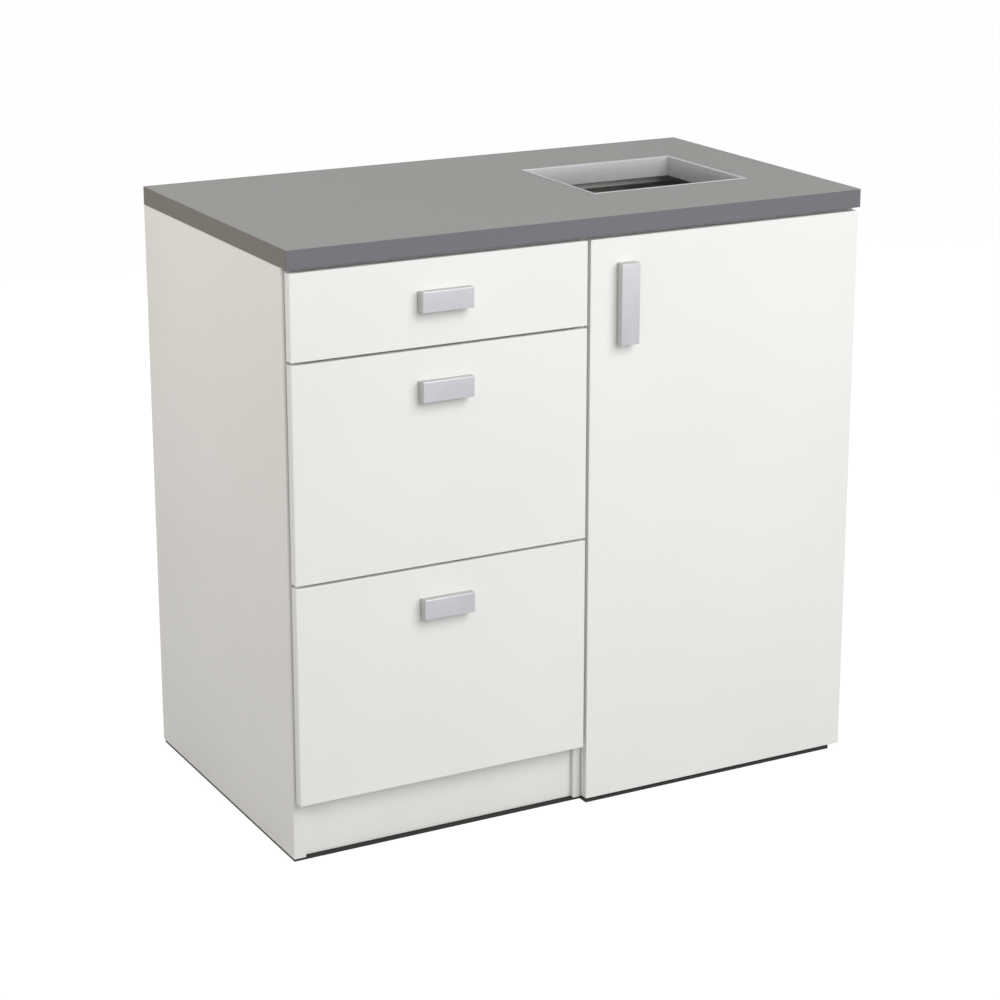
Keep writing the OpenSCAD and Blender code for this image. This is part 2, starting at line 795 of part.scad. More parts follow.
// A recycling bin in drawer n: row 0 stands in front and row 1 behind it
module recycling_bin(n, row) {
    y = -front_clear + bin_gap + recycling_d / 2 + row * (recycling_d + bin_gap);
    color("slategray") cabinet_frame() translate([-bay_x, y, box_floors[n]])
        bin(recycling_w, recycling_d, recycling_h);
}

// Door and hinges

module door_panel() {
    color(white) cabinet_frame() difference() {
        board([door_x0, front_face_y, door_z0], [door_x1, -front_clear, front_top_z]);
        door_handle_place() handle_screw_bores(door_handle_pitch);
        for (z = hinge_zs) {
            bar_y([cup_x, -front_clear + past, z], -(past + cup_deep + loose), cup_dia / 2 + snug);
            cup_screw_shanks(z, screw_r + snug);
        }
    }
}

module door_handle() {
    color(steel) cabinet_frame() door_handle_place() handle(door_handle_l, door_handle_pitch);
}

// Screws of the door's handle and of its hinge cups
module door_screws() {
    color(steel) cabinet_frame() {
        door_handle_place() handle_screws(door_handle_pitch);
        for (z = hinge_zs) {
            cup_screw_shanks(z, screw_r);
            for (s = [-1, 1])
                bar_y([cup_x - cup_flange_w / 2, -front_clear + cup_flange_t, z + s * cup_screw_z],
                      1.5, screw_head_r);
        }
    }
}

module cup_screw_shanks(z, r) {
    for (s = [-1, 1])
        bar_y([cup_x - cup_flange_w / 2, -front_clear + cup_flange_t, z + s * cup_screw_z],
              -(cup_flange_t + front_t / 2), r);
}

// A drawn cup in the door with a flange of two wings
module hinge_cups() {
    wing = cup_flange_w / 2;
    color(steel) cabinet_frame() for (z = hinge_zs) difference() {
        union() {
            bar_y([cup_x, -front_clear, z], -cup_deep, cup_dia / 2);
            translate([cup_x - 2 * wing, -front_clear, z - cup_screw_z])
                cube([2 * wing, cup_flange_t, 2 * cup_screw_z]);
            for (s = [-1, 1]) bar_y([cup_x - wing, -front_clear, z + s * cup_screw_z], cup_flange_t, wing);
        }
        bar_y([cup_x, -front_clear + cup_flange_t + past, z], -(cup_deep - cup_wall + cup_flange_t + past),
              cup_dia / 2 - cup_wall);
        cup_screw_shanks(z, screw_r + snug);
    }
}

// Mounting plates on the right side panel
module hinge_plates() {
    color(steel) cabinet_frame() difference() {
        for (z = hinge_zs) {
            translate([inner_x - plate_t, plate_back - plate_w / 2, z - plate_screw_z])
                cube([plate_t, plate_w, 2 * plate_screw_z]);
            for (s = [-1, 1]) bar_x([inner_x, plate_back, z + s * plate_screw_z], -plate_t, plate_w / 2);
            translate([inner_x - plate_t, plate_back - plate_w, z - arm_h / 2])
                cube([plate_t, 2 * plate_w, arm_h]);
        }
        plate_screws(screw_r + snug);
    }
}

module plate_screws(r) {
    l = plate_t + panel_t / 2;
    for (z = hinge_zs, s = [-1, 1])
        bar_x([inner_x - plate_t - past, plate_back, z + s * plate_screw_z], l + past + loose, r);
}

module hinge_screws() {
    color(steel) cabinet_frame() for (z = hinge_zs, s = [-1, 1]) {
        bar_x([inner_x - plate_t, plate_back, z + s * plate_screw_z], plate_t + panel_t / 2, screw_r);
        bar_x([inner_x - plate_t, plate_back, z + s * plate_screw_z], -screw_head_t, screw_head_r);
    }
}

// Hinge arms: a channel whose forked nose carries the link's pin
module hinge_arms() {
    x1 = inner_x - plate_t;
    color(steel) cabinet_frame() for (z = hinge_zs) difference() {
        translate([0, 0, z - arm_h / 2]) linear_extrude(arm_h) {
            translate([link_x, 0]) circle(link_r);
            translate([link_x - link_r, 0]) square([2 * link_r, arm_h]);
            translate([x1 - arm_w, arm_h / 2]) square([arm_w, arm_back - arm_h / 2]);
        }
        translate([x1 - arm_w - past, -link_r - past, z - arm_slot / 2])
            cube([arm_w + 2 * past, 2 * link_r + running + past, arm_slot]);
        bar_z([link_x, 0, z - arm_h / 2 - past], arm_h + 2 * past, link_pin_r + snug);
    }
}

// Bent links that turn on the arms' noses and reach into the cups, each with its pin
module hinge_links() {
    link_h = arm_slot - 2 * running;
    color("gray") cabinet_frame() for (z = hinge_zs) translate([link_x, 0, z]) {
        bar_z([0, 0, -arm_h / 2 - 1], arm_h + 2, link_pin_r);
        translate([0, 0, -link_h / 2]) linear_extrude(link_h) {
            circle(link_r);
            flat_bar([0, 0], link_knee, link_w);
            flat_bar(link_knee, link_tip, link_w);
        }
    }
}

// A flat bar with round ends between two points
module flat_bar(p, q, w) {
    v = q - p;
    for (c = [p, q]) translate(c) circle(w / 2);
    translate(p) rotate(atan2(v.y, v.x)) translate([0, -w / 2]) square([norm(v), w]);
}

side_panel_left();
side_panel_right();
partition();
drawer_bay_bottom();
bin_bay_bottom();
back_panel();
top_rails_front();
top_rails_rear();
plinth();
base_strips();
worktop();
throw_in_collar();
cam_fittings();
dowels();
carcass_screws();
buffers();
waste_bin();
hinge_plates();
hinge_arms();
hinge_screws();
hinge_links();
door_panel();
door_handle();
door_screws();
hinge_cups();
cabinet_rails(0);  // top_cabinet_rails
cabinet_rails(1);  // middle_cabinet_rails
cabinet_rails(2);  // bottom_cabinet_rails
middle_rails(0);  // top_middle_rails
middle_rails(1);  // middle_middle_rails
middle_rails(2);  // bottom_middle_rails
drawer_front(0);  // top_drawer_front
drawer_handle(0);  // top_drawer_handle
drawer_screws(0);  // top_drawer_screws
drawer_side(0, -1);  // top_drawer_side_left
drawer_side(0, 1);  // top_drawer_side_right
drawer_back(0);  // top_drawer_back
drawer_bottom(0);  // top_drawer_bottom
drawer_rails(0);  // top_drawer_rails
drawer_front(1);  // middle_drawer_front
drawer_handle(1);  // middle_drawer_handle
drawer_screws(1);  // middle_drawer_screws
drawer_side(1, -1);  // middle_drawer_side_left
drawer_side(1, 1);  // middle_drawer_side_right
drawer_back(1);  // middle_drawer_back
drawer_bottom(1);  // middle_drawer_bottom
drawer_rails(1);  // middle_drawer_rails
drawer_front(2);  // bottom_drawer_front
drawer_handle(2);  // bottom_drawer_handle
drawer_screws(2);  // bottom_drawer_screws
drawer_side(2, -1);  // bottom_drawer_side_left
drawer_side(2, 1);  // bottom_drawer_side_right
drawer_back(2);  // bottom_drawer_back
drawer_bottom(2);  // bottom_drawer_bottom
drawer_rails(2);  // bottom_drawer_rails
recycling_bin(1, 0);  // middle_bin_front
recycling_bin(1, 1);  // middle_bin_rear
recycling_bin(2, 0);  // bottom_bin_front
recycling_bin(2, 1);  // bottom_bin_rear
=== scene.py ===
"""Looks of the recycling bin cabinet: finishes, rounded metalwork, moulded bins and a plain studio.

The frame is the cabinet's own, in metres: X to the right, Y to the back, Z up, with the origin on the floor
under the middle. Sizes of the dressed pieces are written in millimetres and turned to metres by MM.
"""
import json
import logging
import math
from collections.abc import Callable
from dataclasses import dataclass, field
from enum import Enum

import bmesh
import bpy
import numpy as np
from mathutils import Matrix, Vector


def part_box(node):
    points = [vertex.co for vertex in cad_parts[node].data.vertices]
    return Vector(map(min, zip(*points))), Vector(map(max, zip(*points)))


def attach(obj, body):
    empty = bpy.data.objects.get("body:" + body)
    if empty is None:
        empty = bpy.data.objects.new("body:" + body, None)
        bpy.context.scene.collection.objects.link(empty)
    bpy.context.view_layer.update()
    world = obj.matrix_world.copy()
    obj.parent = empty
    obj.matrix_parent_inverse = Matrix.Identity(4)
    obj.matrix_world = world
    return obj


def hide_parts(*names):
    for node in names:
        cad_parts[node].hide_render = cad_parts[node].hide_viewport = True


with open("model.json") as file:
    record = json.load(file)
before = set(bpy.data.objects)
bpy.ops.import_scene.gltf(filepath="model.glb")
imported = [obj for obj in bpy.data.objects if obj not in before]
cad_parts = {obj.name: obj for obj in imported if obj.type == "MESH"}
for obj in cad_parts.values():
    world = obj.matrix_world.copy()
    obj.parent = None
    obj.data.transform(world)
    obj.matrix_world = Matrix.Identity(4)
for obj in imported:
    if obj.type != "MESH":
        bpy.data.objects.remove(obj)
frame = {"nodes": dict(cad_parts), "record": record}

MM = 0.001
TINY = 1e-6
# Blender's noise mostly lies between these.
NOISE_LOW, NOISE_HIGH = 0.3, 0.7
log = logging.getLogger("cabinet")


# Small tools for meshes

def fillet_outline(corners: np.ndarray, radii: np.ndarray, steps: int) -> np.ndarray:
    """Rounds the corners of a closed outline with circular arcs.

    At each corner, unit vectors lead to the previous and the next corner. The arc touches both sides at
    radius / tan(half angle) from the corner, its centre lies on the bisector at radius / sin(half angle),
    and its points turn evenly from one touching point to the other.

    Args:
        corners: The outline's corners in order, shape (n, 2).
        radii: A radius for each corner, shape (n,).
        steps: Number of segments in each arc.

    Returns:
        The rounded outline, shape (n * (steps + 1), 2).
    """
    back = np.roll(corners, 1, axis=0) - corners
    ahead = np.roll(corners, -1, axis=0) - corners
    back /= np.linalg.norm(back, axis=1, keepdims=True)
    ahead /= np.linalg.norm(ahead, axis=1, keepdims=True)
    half = np.arccos(np.clip((back * ahead).sum(axis=1), -1, 1)) / 2
    radius = np.maximum(radii, TINY)
    bisector = back + ahead
    bisector /= np.linalg.norm(bisector, axis=1, keepdims=True)
    centre = corners + bisector * (radius / np.sin(half))[:, None]
    start = corners + back * (radius / np.tan(half))[:, None] - centre
    end = corners + ahead * (radius / np.tan(half))[:, None] - centre
    sweep = np.pi - 2 * half
    turn = np.linspace(0, 1, steps + 1)[None, :] * sweep[:, None]
    weight_start = np.sin(sweep[:, None] - turn) / np.sin(sweep)[:, None]
    weight_end = np.sin(turn) / np.sin(sweep)[:, None]
    arc = weight_start[..., None] * start[:, None] + weight_end[..., None] * end[:, None]
    return (centre[:, None] + arc).reshape(-1, 2)


def rounded_rings(low: np.ndarray, high: np.ndarray, radii: np.ndarray, steps: int) -> np.ndarray:
    """A rectangle with round corners for each row of a stack.

    A point lies at its corner's centre, which is the corner moved inwards by the radius both ways, plus the
    radius times the cosine and sine of its angle round that corner.

    Args:
        low: Lowest corner of each rectangle, shape (rows, 2).
        high: Highest corner of each rectangle, shape (rows, 2).
        radii: Radius at the corners (high, high), (low, high), (low, low) and (high, low), shape (rows, 4).
        steps: Number of segments in each corner.

    Returns:
        The points of each row, shape (rows, 4 * (steps + 1), 2).
    """
    signs = np.array([[1, 1], [-1, 1], [-1, -1], [1, -1]], float)
    corner = np.where(signs[None] > 0, high[:, None], low[:, None])
    angle = np.linspace(0, np.pi / 2, steps + 1)[None, :] + np.arange(4)[:, None] * np.pi / 2
    around = np.stack([np.cos(angle), np.sin(angle)], axis=-1)
    centre = corner - signs[None] * radii[..., None]
    rings = centre[:, :, None] + radii[..., None, None] * around[None]
    return rings.reshape(len(low), -1, 2)


def grid_faces(rows: int, columns: int, close_rows: bool = False) -> np.ndarray:
    """Quads of a grid of points whose rows are closed, as index arithmetic on the whole grid.

    Args:
        rows: Number of rows of points.
        columns: Number of points in a row.
        close_rows: Whether the last row joins the first.

    Returns:
        Four indices for each quad, shape (quads, 4).
    """
    row = np.arange(rows if close_rows else rows - 1)[:, None]
    column = np.arange(columns)[None, :]
    next_row, next_column = (row + 1) % rows, (column + 1) % columns
    quads = np.stack([
        row * columns + column,
        row * columns + next_column,
        next_row * columns + next_column,
        next_row * columns + column,
    ], axis=-1)
    return quads.reshape(-1, 4)


def capped_faces(rows: int, columns: int) -> list[list[int]]:
    """Quads of a stack of closed rows, with a face over the first row and one over the last.

    Args:
        rows: Number of rows of points.
        columns: Number of points in a row.

    Returns:
        Lists of point indices.
    """
    last = (rows - 1) * columns
    caps = [list(range(columns)), list(range(last, last + columns))]
    return grid_faces(rows, columns).tolist() + caps


def make_piece(name: str, points: np.ndarray, faces: list[list[int]],
               smooth_angle: float = 40.0) -> bpy.types.Object:
    """Makes a piece at the origin whose place is in its mesh, with its faces turned outwards.

    Args:
        name: The piece's name.
        points: Points in metres, shape (..., 3).
        faces: Lists of point indices.
        smooth_angle: Faces that meet at less than this angle, in degrees, are shaded as one surface.

    Returns:
        The new object, linked to the scene.
    """
    mesh = bpy.data.meshes.new(name)
    mesh.from_pydata(points.reshape(-1, 3).tolist(), [], faces)
    work = bmesh.new()
    work.from_mesh(mesh)
    bmesh.ops.remove_doubles(work, verts=work.verts, dist=TINY)
    bmesh.ops.recalc_face_normals(work, faces=work.faces)
    work.to_mesh(mesh)
    work.free()
    mesh.shade_smooth()
    mesh.set_sharp_from_angle(angle=math.radians(smooth_angle))
    mesh.update()
    piece = bpy.data.objects.new(name, mesh)
    bpy.context.scene.collection.objects.link(piece)
    return piece


def box_mm(node: str) -> tuple[np.ndarray, np.ndarray]:
    """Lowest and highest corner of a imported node, in mm."""
    low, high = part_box(node)
    return np.array(low) / MM, np.array(high) / MM


def solids_of(node: str) -> list[np.ndarray]:
    """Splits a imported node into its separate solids.

    Points at the same place are one. Each starts with its own number, and every triangle gives its corners
    the least number among them, until nothing changes: then a solid's points all hold one number.

    Args:
        node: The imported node.

    Returns:
        The points of each solid in mm, shape (n, 3) each.
    """
    mesh = frame["nodes"][node].data
    points = np.empty(len(mesh.vertices) * 3)
    mesh.vertices.foreach_get("co", points)
    points = points.reshape(-1, 3) / MM
    mesh.calc_loop_triangles()
    corners = np.empty(len(mesh.loop_triangles) * 3, int)
    mesh.loop_triangles.foreach_get("vertices", corners)
    place = np.unique(points.round(3), axis=0, return_inverse=True)[1].ravel()
    triangles = place[corners].reshape(-1, 3)
    number = np.arange(place.max() + 1)
    settled = False
    while not settled:
        least = number[triangles].min(axis=1)
        spread = number.copy()
        np.minimum.at(spread, triangles.ravel(), np.repeat(least, 3))
        settled = bool((spread == number).all())
        number = spread
    groups = number[place]
    return [points[groups == group] for group in np.unique(groups)]


def solid_boxes(node: str) -> tuple[np.ndarray, np.ndarray]:
    """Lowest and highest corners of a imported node's solids in mm, shape (solids, 3) each."""
    boxes = np.array([(solid.min(axis=0), solid.max(axis=0)) for solid in solids_of(node)])
    return boxes[:, 0], boxes[:, 1]


@dataclass(frozen=True)
class Round:
    """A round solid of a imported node, such as a screw: where it sits, its axis and its sizes in mm."""

    seat: np.ndarray
    axis: np.ndarray
    head_r: float
    head_h: float
    shank_r: float
    shank_l: float

    @classmethod
    def measure(cls, points: np.ndarray) -> "Round":
        """Finds the head and the shank about an axis along the longest side of the solid's box.

        Points within a twentieth of the greatest radius are the head's, and those more than a tenth inside it
        are the shank's.

        Args:
            points: The solid's points, shape (n, 3).

        Returns:
            The measured solid. Its axis points from the shank to the head.
        """
        low, high = points.min(axis=0), points.max(axis=0)
        along = int(np.argmax(high - low))
        across = [k for k in range(3) if k != along]
        seat = (low + high) / 2
        radius = np.linalg.norm(points[:, across] - seat[across], axis=1)
        head_r = float(radius.max())
        head = points[radius > 0.95 * head_r, along]
        side = 1.0 if head.mean() > seat[along] else -1.0
        head_h = float(head.max() - head.min())
        seat[along] = head.min() if side > 0 else head.max()
        shank_r = float(radius[radius < 0.9 * head_r].max())
        direction = np.zeros(3)
        direction[along] = side
        return cls(seat, direction, head_r, head_h, shank_r, float(high[along] - low[along]) - head_h)


def revolve(profiles: np.ndarray, seats: np.ndarray, axes: np.ndarray, columns: int,
            cut: Callable[[np.ndarray, np.ndarray], np.ndarray] | None = None,
            ) -> tuple[np.ndarray, list[list[int]]]:
    """Turns a profile about an axis at each of several seats.

    A point lies at the seat, plus its radius times the cosine of its angle along one cross direction and
    times the sine along the other, plus its height, less what is cut there, along the axis.

    Args:
        profiles: Radius and height of each row for each seat, in mm, shape (seats, rows, 2).
        seats: Middles of the solids, shape (seats, 3).
        axes: Unit vectors along the axes, shape (seats, 3).
        columns: Number of points round the axis.
        cut: Gives the depth that is cut out at a radius and an angle.

    Returns:
        The points in mm, shape (seats, rows, columns, 3), and the faces.
    """
    angle = np.linspace(0, 2 * np.pi, columns, endpoint=False)[None, None, :]
    radius = profiles[..., 0][..., None]
    height = np.broadcast_to(profiles[..., 1][..., None], (*profiles.shape[:2], columns))
    if cut is not None:
        height = height - cut(np.broadcast_to(radius, height.shape), np.broadcast_to(angle, height.shape))
    first = np.roll(axes, 1, axis=1)
    second = np.cross(axes, first)
    points = (seats[:, None, None] + (radius * np.cos(angle))[..., None] * first[:, None, None]
              + (radius * np.sin(angle))[..., None] * second[:, None, None]
              + height[..., None] * axes[:, None, None])
    rows = profiles.shape[1]
    start = np.arange(len(seats))[:, None, None] * rows * columns
    faces = (grid_faces(rows, columns)[None] + start).reshape(-1, 4)
    return points, faces.tolist()


# Small tools for materials

def linear(hex_colour: str) -> tuple[float, float, float, float]:
    """Turns an sRGB hex colour to linear values.

    Args:
        hex_colour: The colour, such as "#f0f0ee".

    Returns:
        Red, green, blue and alpha.
    """
    srgb = np.array([int(hex_colour[i:i + 2], 16) for i in (1, 3, 5)]) / 255
    value = np.where(srgb <= 0.04045, srgb / 12.92, ((srgb + 0.055) / 1.055) ** 2.4)
    return (*value.tolist(), 1.0)


def add(tree: bpy.types.NodeTree, kind: str, inputs: dict[str | int, object] | None = None,
        **settings: object) -> bpy.types.Node:
    """Adds a node with its settings and links.

    Args:
        tree: The material's or world's node tree.
        kind: Blender's name for the node type.
        inputs: For a socket's name or number, the value it holds or the socket that feeds it.
        **settings: Properties of the node.

    Returns:
        The new node.
    """
    node = tree.nodes.new(kind)
    for key, value in settings.items():
        setattr(node, key, value)
    for key, value in (inputs or {}).items():
        if isinstance(value, bpy.types.NodeSocket):
            tree.links.new(value, node.inputs[key])
        else:
            node.inputs[key].default_value = value
    return node


@dataclass
class Canvas:
    """A material in the making: its tree, its shader and the place on the object in millimetres."""

    tree: bpy.types.NodeTree
    shader: bpy.types.Node
    mm: bpy.types.NodeSocket

    def pattern(self, size_mm: float | tuple[float, float, float], detail: float = 2.0, low: float = 0.0,
                high: float = 1.0) -> bpy.types.NodeSocket:
        """Adds soft noise.

        The place is divided by the size of the blotches before the noise is taken, and the noise's usual
        span is spread over low to high.

        Args:
            size_mm: Size of the blotches, or their sizes along X, Y and Z.
            detail: Number of finer layers.
            low: Value where the noise is least.
            high: Value where it is greatest.

        Returns:
            The socket that gives the value.
        """
        sizes = size_mm if isinstance(size_mm, tuple) else (size_mm,) * 3
        scaled = add(self.tree, "ShaderNodeMapping",
                     {"Vector": self.mm, "Scale": tuple(1 / size for size in sizes)})
        noise = add(self.tree, "ShaderNodeTexNoise",
                    {"Vector": scaled.outputs["Vector"], "Scale": 1.0, "Detail": detail})
        return add(self.tree, "ShaderNodeMapRange",
                   {"Value": noise.outputs["Fac"], "From Min": NOISE_LOW, "From Max": NOISE_HIGH,
                    "To Min": low, "To Max": high}).outputs["Result"]

    def tint(self, share: bpy.types.NodeSocket, colour: bpy.types.NodeSocket | str,
             other: str) -> bpy.types.NodeSocket:
        """Mixes another colour into the base colour.

        Args:
            share: Where the other colour shows, from 0 to 1.
            colour: The colour so far, as a hex colour or a socket.
            other: The other colour, as a hex colour.

        Returns:
            The socket that gives the mix.
        """
        first = linear(colour) if isinstance(colour, str) else colour
        mix = add(self.tree, "ShaderNodeMix", {0: share, 6: first, 7: linear(other)}, data_type="RGBA",
                  clamp_factor=True)
        self.tree.links.new(mix.outputs[2], self.shader.inputs["Base Color"])
        return mix.outputs[2]

    def vary_roughness(self, value: bpy.types.NodeSocket, middle: float, by: float) -> None:
        """Varies the roughness evenly about its middle.

        Args:
            value: A pattern from 0 to 1.
            middle: Roughness where the pattern is 0.5.
            by: How far it goes either way.
        """
        varied = add(self.tree, "ShaderNodeMath", {0: value, 1: 2 * by, 2: middle - by},
                     operation="MULTIPLY_ADD")
        self.tree.links.new(varied.outputs[0], self.shader.inputs["Roughness"])

    def relief(self, height: bpy.types.NodeSocket, depth_mm: float) -> None:
        """Adds relief.

        Args:
            height: A pattern from 0 to 1.
            depth_mm: How deep the relief is.
        """
        bump = add(self.tree, "ShaderNodeBump", {"Height": height, "Distance": depth_mm * MM})
        self.tree.links.new(bump.outputs["Normal"], self.shader.inputs["Normal"])


class Lay(Enum):
    """Size in mm, along X, Y and Z, of the marks that brushing, rolling or blasting leaves in a metal."""

    # Real lines and pits are 0.05 to 0.1 mm wide. They are drawn 0.5 to 0.6 mm wide, so that they show.
    ALONG_X = (45.0, 0.5, 0.5)
    ALONG_Y = (0.5, 45.0, 0.5)
    BLASTED = (0.6, 0.6, 0.6)


@dataclass(frozen=True)
class Finish:
    """A surface finish. Its material reads Object coordinates, scaled to millimetres.

    Where ior is None the shader keeps its own, as a metal does.
    """

    name: str
    colour: str
    roughness: float
    ior: float | None = None

    def material(self) -> bpy.types.Material:
        """Builds the material with its shader, its pattern and its output.

        Returns:
            The new material.
        """
        made = bpy.data.materials.new(self.name)
        made.use_nodes = True
        tree = made.node_tree
        tree.nodes.clear()
        place = add(tree, "ShaderNodeTexCoord")
        mm = add(tree, "ShaderNodeMapping", {"Vector": place.outputs["Object"], "Scale": (1 / MM,) * 3})
        shader = add(tree, "ShaderNodeBsdfPrincipled",
                     {"Base Color": linear(self.colour), "Roughness": self.roughness})
        if self.ior is not None:
            shader.inputs["IOR"].default_value = self.ior
        self.dress(Canvas(tree, shader, mm.outputs["Vector"]))
        add(tree, "ShaderNodeOutputMaterial", {"Surface": shader.outputs["BSDF"]})
        made.diffuse_color = linear(self.colour)
        return made

    def dress(self, canvas: Canvas) -> None:
        """Adds what this finish shows. Each kind of finish has its own."""


@dataclass(frozen=True)
class Melamine(Finish):
    """Melamine-faced chipboard, pressed with a satin pearl: a faintly pebbled, even white skin."""

    ior: float = 1.57
    cloud: str = "#e6e5e1"
    cloud_mm: float = 260.0
    cloud_share: float = 0.5
    # The real pearl is 0.8 mm across. It is drawn twice as coarse, so that it shows.
    pearl_mm: float = 1.6
    pearl_detail: float = 1.0
    pearl_depth_mm: float = 0.005
    pearl_vary: float = 0.045

    def dress(self, canvas: Canvas) -> None:
        """Clouds the colour over a hand's width and adds the pearl.

        Args:
            canvas: The material in the making.
        """
        canvas.tint(canvas.pattern(self.cloud_mm, high=self.cloud_share), self.colour, self.cloud)
        pearl = canvas.pattern(self.pearl_mm, self.pearl_detail)
        canvas.vary_roughness(pearl, self.roughness, self.pearl_vary)
        canvas.relief(pearl, self.pearl_depth_mm)


@dataclass(frozen=True, kw_only=True)
class Laminate(Finish):
    """High-pressure laminate in matt grey: a fine stipple on the face, and edge bands painted darker as shade.
    """

    top_mm: float
    side_mm: float
    ior: float = 1.55
    # Painted shade: the edge bands are darker than the face, a cool grey at the front and a warm grey at the
    # ends, for the light that falls on each side.
    front_band_painted_shade: str = "#66676d"
    end_band_painted_shade: str = "#69635c"
    fleck: str = "#84847f"
    cloud_mm: float = 190.0
    cloud_share: float = 0.4
    # The real stipple is 0.4 mm across. It is drawn three times as coarse, so that it shows.
    stipple_mm: float = 1.2
    stipple_detail: float = 3.0
    stipple_share: float = 0.25
    stipple_depth_mm: float = 0.006
    stipple_vary: float = 0.05
    skin_mm: float = 0.7

    def dress(self, canvas: Canvas) -> None:
        """Gives the face its stipple, and the edge bands greys painted darker than the face as shade.

        The bands begin a skin's thickness below the top, and those at the two ends lie a skin's thickness
        from the widest places.

        Args:
            canvas: The material in the making.
        """
        stipple = canvas.pattern(self.stipple_mm, self.stipple_detail)
        flecks = canvas.pattern(self.stipple_mm, self.stipple_detail, high=self.stipple_share)
        face = canvas.tint(canvas.pattern(self.cloud_mm, high=self.cloud_share), self.colour, self.fleck)
        face = canvas.tint(flecks, face, self.fleck)
        place = add(canvas.tree, "ShaderNodeSeparateXYZ", {"Vector": canvas.mm})
        below = add(canvas.tree, "ShaderNodeMath", {0: place.outputs["Z"], 1: self.top_mm - self.skin_mm},
                    operation="LESS_THAN").outputs[0]
        sideways = add(canvas.tree, "ShaderNodeMath", {0: place.outputs["X"]}, operation="ABSOLUTE")
        at_end = add(canvas.tree, "ShaderNodeMath", {0: sideways.outputs[0], 1: self.side_mm - self.skin_mm},
                     operation="GREATER_THAN")
        # Painted shade on the bands: the front band cool and darker, the end bands warm and darker.
        face = canvas.tint(below, face, self.front_band_painted_shade)
        end_band = add(canvas.tree, "ShaderNodeMath", {0: below, 1: at_end.outputs[0]}, operation="MULTIPLY")
        canvas.tint(end_band.outputs[0], face, self.end_band_painted_shade)
        canvas.vary_roughness(stipple, self.roughness, self.stipple_vary)
        canvas.relief(stipple, self.stipple_depth_mm)


@dataclass(frozen=True, kw_only=True)
class DrawnMetal(Finish):
    """A metal with lines from rolling or pits from blasting, under a thin oxide, plating or coat."""

    dull: str
    lay: Lay = Lay.BLASTED
    dull_mm: float = 35.0
    dull_share: float = 0.35
    metallic: float = 1.0
    line_depth_mm: float = 0.0022
    vary: float = 0.06

    def dress(self, canvas: Canvas) -> None:
        """Draws the marks along the lay, and lets soft patches a thumb wide dull the colour.

        Args:
            canvas: The material in the making.
        """
        lines = canvas.pattern(self.lay.value)
        patches = canvas.pattern(self.dull_mm, high=self.dull_share)
        self.shade(canvas, canvas.tint(patches, self.colour, self.dull))
        canvas.vary_roughness(lines, self.roughness, self.vary)
        canvas.shader.inputs["Metallic"].default_value = self.metallic
        canvas.relief(lines, self.line_depth_mm)

    def shade(self, canvas: Canvas, colour: bpy.types.NodeSocket) -> None:
        """Adds nothing on a metal whose sides are all alike."""


@dataclass(frozen=True, kw_only=True)
class PullMetal(DrawnMetal):
    """Satin anodised aluminium: a cool silver face, with ends and returns painted a darker grey as shade."""

    face_y_mm: float
    # Painted shade: the ends and returns take this darker grey, standing in for the dimmer reflections they
    # show.
    side: str = "#c1c2bf"
    fade_mm: float = 0.9

    def shade(self, canvas: Canvas, colour: bpy.types.NodeSocket) -> None:
        """Turns from the face's colour to the painted shade of the sides over most of the rounding behind it.

        Args:
            canvas: The material in the making.
            colour: The colour so far.
        """
        place = add(canvas.tree, "ShaderNodeSeparateXYZ", {"Vector": canvas.mm})
        behind = add(canvas.tree, "ShaderNodeMapRange",
                     {"Value": place.outputs["Y"], "From Min": self.face_y_mm,
                      "From Max": self.face_y_mm + self.fade_mm, "To Min": 0.0, "To Max": 1.0})
        canvas.tint(behind.outputs["Result"], colour, self.side)


@dataclass(frozen=True, kw_only=True)
class Moulded(Finish):
    """Moulded or extruded plastic: an even colour under a fine leathery grain from the tool's skin."""

    scuff: str
    ior: float = 1.49
    scuff_mm: float = 45.0
    scuff_detail: float = 4.0
    # From below zero, so that most of the plastic is clear of scuffs.
    scuff_span: tuple[float, float] = (-0.5, 0.3)
    # The real grain is 0.4 mm across. It is drawn twice as coarse, so that it shows.
    grain_mm: float = 0.9
    grain_depth_mm: float = 0.012
    grain_vary: float = 0.07

    def dress(self, canvas: Canvas) -> None:
        """Adds the grain and a few soft scuffs.

        Args:
            canvas: The material in the making.
        """
        grain = canvas.pattern(self.grain_mm)
        scuffs = canvas.pattern(self.scuff_mm, self.scuff_detail, *self.scuff_span)
        canvas.tint(scuffs, self.colour, self.scuff)
        canvas.vary_roughness(grain, self.roughness, self.grain_vary)
        canvas.relief(grain, self.grain_depth_mm)


@dataclass(frozen=True)
class Wood(Finish):
    """Turned and pressed beech: pale pinkish brown with short dark flecks along the grain."""

    ior: float = 1.5
    fleck: str = "#8a6238"
    fleck_mm: tuple[float, float, float] = (5.0, 0.4, 0.4)
    fleck_detail: float = 3.0
    fleck_span: tuple[float, float] = (-0.4, 0.8)
    fleck_depth_mm: float = 0.016

    def dress(self, canvas: Canvas) -> None:
        """Draws the flecks along X, the way the dowels lie.

        Args:
            canvas: The material in the making.
        """
        flecks = canvas.pattern(self.fleck_mm, self.fleck_detail, *self.fleck_span)
        canvas.tint(flecks, self.colour, self.fleck)
        canvas.relief(canvas.pattern(self.fleck_mm, self.fleck_detail), self.fleck_depth_mm)


